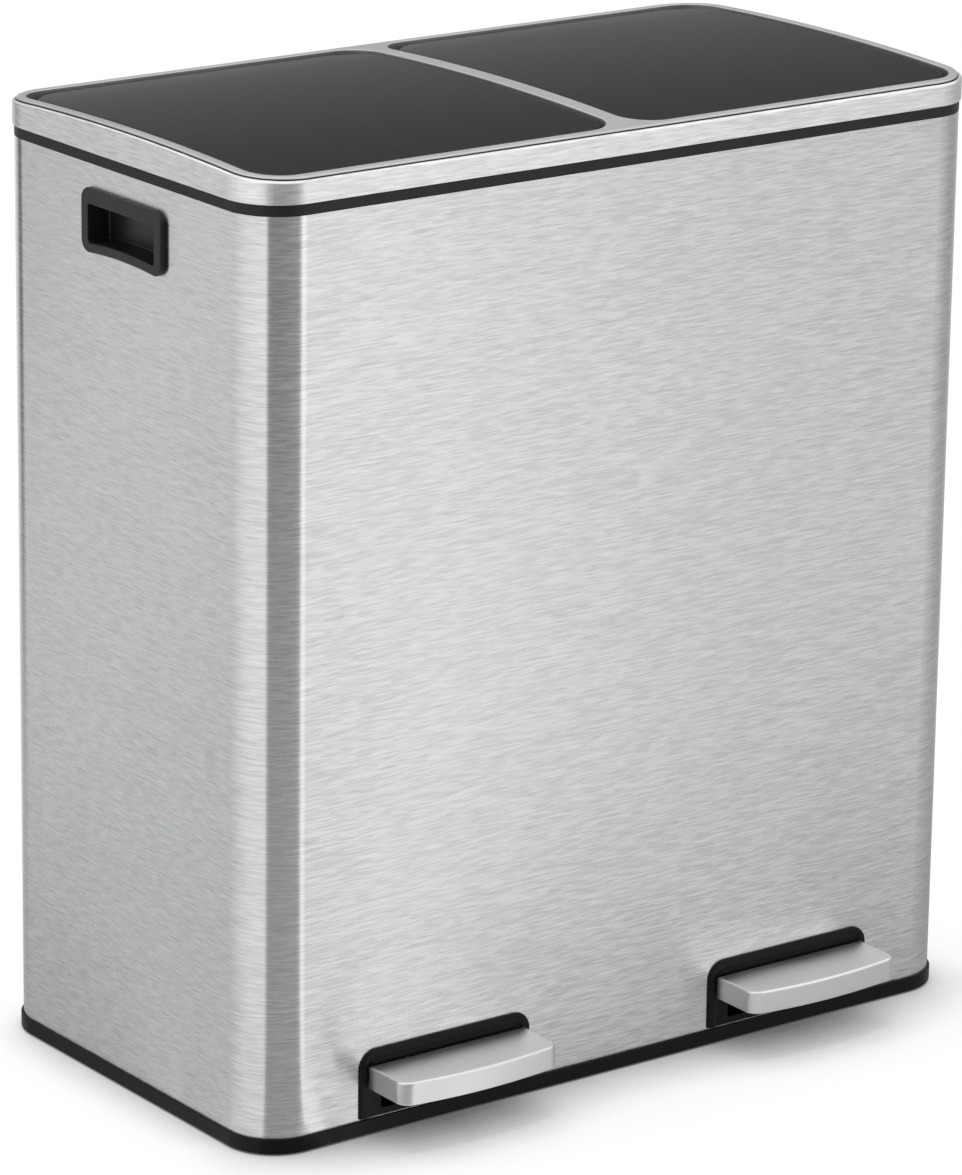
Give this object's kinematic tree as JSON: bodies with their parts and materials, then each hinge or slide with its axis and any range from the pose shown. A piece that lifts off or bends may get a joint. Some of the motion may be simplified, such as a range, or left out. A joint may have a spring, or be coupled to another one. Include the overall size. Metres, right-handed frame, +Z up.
{
  "type": "double recycling bin",
  "caption": "Free-standing double pedal bin: brushed steel casing, silver rim, black base and collar, side grips, and a lid, bucket and pedal on each side.",
  "frame": {"origin": "on the floor, at the centre of the footprint with the pedals included", "axes": "+Z up, the front with the pedals faces -Y, +X to the right seen from the front"},
  "size_m": [0.5924, 0.3605, 0.65],
  "materials": {
    "brushed_stainless": "brushed stainless steel sheet, fine grain running round the casing",
    "silver_rim": "brushed stainless lid frame, grain along each side",
    "satin_silver_pedal": "satin silver, smooth",
    "black_trim": "black moulded plastic, fine satin",
    "black_lid": "black moulded plastic, satin with a soft sheen",
    "bucket_grey": "dark grey moulded plastic, matt",
    "zinc_steel": "zinc-plated steel",
    "nylon": "natural nylon",
    "rubber": "black rubber"
  },
  "bodies": {
    "root": {"base_tray": "black_trim", "outer_shell": "brushed_stainless", "top_collar": "black_trim", "lid_frame": "silver_rim", "front_left_foot": "rubber", "front_right_foot": "rubber", "rear_left_foot": "rubber", "rear_right_foot": "rubber", "left_handle": "black_trim", "right_handle": "black_trim", "left_bucket": "bucket_grey", "left_inner_buffer": "rubber", "left_outer_buffer": "rubber", "left_inner_hinge_pin": "zinc_steel", "left_outer_hinge_pin": "zinc_steel", "left_lower_rod_guide": "black_trim", "left_upper_rod_guide": "black_trim", "left_damper_cylinder": "black_trim", "left_pedal_surround": "black_trim", "left_pivot_pin": "zinc_steel", "left_pivot_bracket": "zinc_steel", "left_inner_bracket_screw": "zinc_steel", "left_outer_bracket_screw": "zinc_steel", "right_bucket": "bucket_grey", "right_inner_buffer": "rubber", "right_outer_buffer": "rubber", "right_inner_hinge_pin": "zinc_steel", "right_outer_hinge_pin": "zinc_steel", "right_lower_rod_guide": "black_trim", "right_upper_rod_guide": "black_trim", "right_damper_cylinder": "black_trim", "right_pedal_surround": "black_trim", "right_pivot_pin": "zinc_steel", "right_pivot_bracket": "zinc_steel", "right_inner_bracket_screw": "zinc_steel", "right_outer_bracket_screw": "zinc_steel"},
    "left_lid": {"left_lid": "black_lid", "left_crank": "zinc_steel"},
    "left_roller": {"left_crank_roller": "nylon"},
    "left_rod": {"left_push_rod": "zinc_steel", "left_rod_cap": "nylon", "left_damper_piston": "zinc_steel"},
    "left_pedal": {"left_pedal": "satin_silver_pedal", "left_pedal_lever": "zinc_steel"},
    "right_lid": {"right_lid": "black_lid", "right_crank": "zinc_steel"},
    "right_roller": {"right_crank_roller": "nylon"},
    "right_rod": {"right_push_rod": "zinc_steel", "right_rod_cap": "nylon", "right_damper_piston": "zinc_steel"},
    "right_pedal": {"right_pedal": "satin_silver_pedal", "right_pedal_lever": "zinc_steel"}
  },
  "joints": [
    {"name": "left_lid_hinge", "type": "hinge", "parent": "root", "child": "left_lid", "pos_m": [-0.1452, 0.16025, 0.6417], "axis": [-1, 0, 0], "range_deg": [0, 80]},
    {"name": "left_roller_spin", "type": "hinge", "parent": "left_lid", "child": "left_roller", "pos_m": [-0.1452, 0.14493, 0.62884], "axis": [1, 0, 0], "continuous": true},
    {"name": "left_rod_slide", "type": "slide", "parent": "root", "child": "left_rod", "axis": [0, 0, 1], "range_m": [0, 0.026]},
    {"name": "left_pedal_hinge", "type": "hinge", "parent": "root", "child": "left_pedal", "pos_m": [-0.1452, -0.04725, 0.03], "axis": [1, 0, 0], "range_deg": [0, 8]},
    {"name": "right_lid_hinge", "type": "hinge", "parent": "root", "child": "right_lid", "pos_m": [0.1452, 0.16025, 0.6417], "axis": [-1, 0, 0], "range_deg": [0, 80]},
    {"name": "right_roller_spin", "type": "hinge", "parent": "right_lid", "child": "right_roller", "pos_m": [0.1452, 0.14493, 0.62884], "axis": [1, 0, 0], "continuous": true},
    {"name": "right_rod_slide", "type": "slide", "parent": "root", "child": "right_rod", "axis": [0, 0, 1], "range_m": [0, 0.026]},
    {"name": "right_pedal_hinge", "type": "hinge", "parent": "root", "child": "right_pedal", "pos_m": [0.1452, -0.04725, 0.03], "axis": [1, 0, 0], "range_deg": [0, 8]}
  ],
  "couplings": [
    {"joint": "left_rod_slide", "follows": "left_lid_hinge", "m_per_rad": 0.018414},
    {"joint": "left_pedal_hinge", "follows": "left_lid_hinge", "ratio": 0.0965},
    {"joint": "right_rod_slide", "follows": "right_lid_hinge", "m_per_rad": 0.018414},
    {"joint": "right_pedal_hinge", "follows": "right_lid_hinge", "ratio": 0.0965}
  ]
}
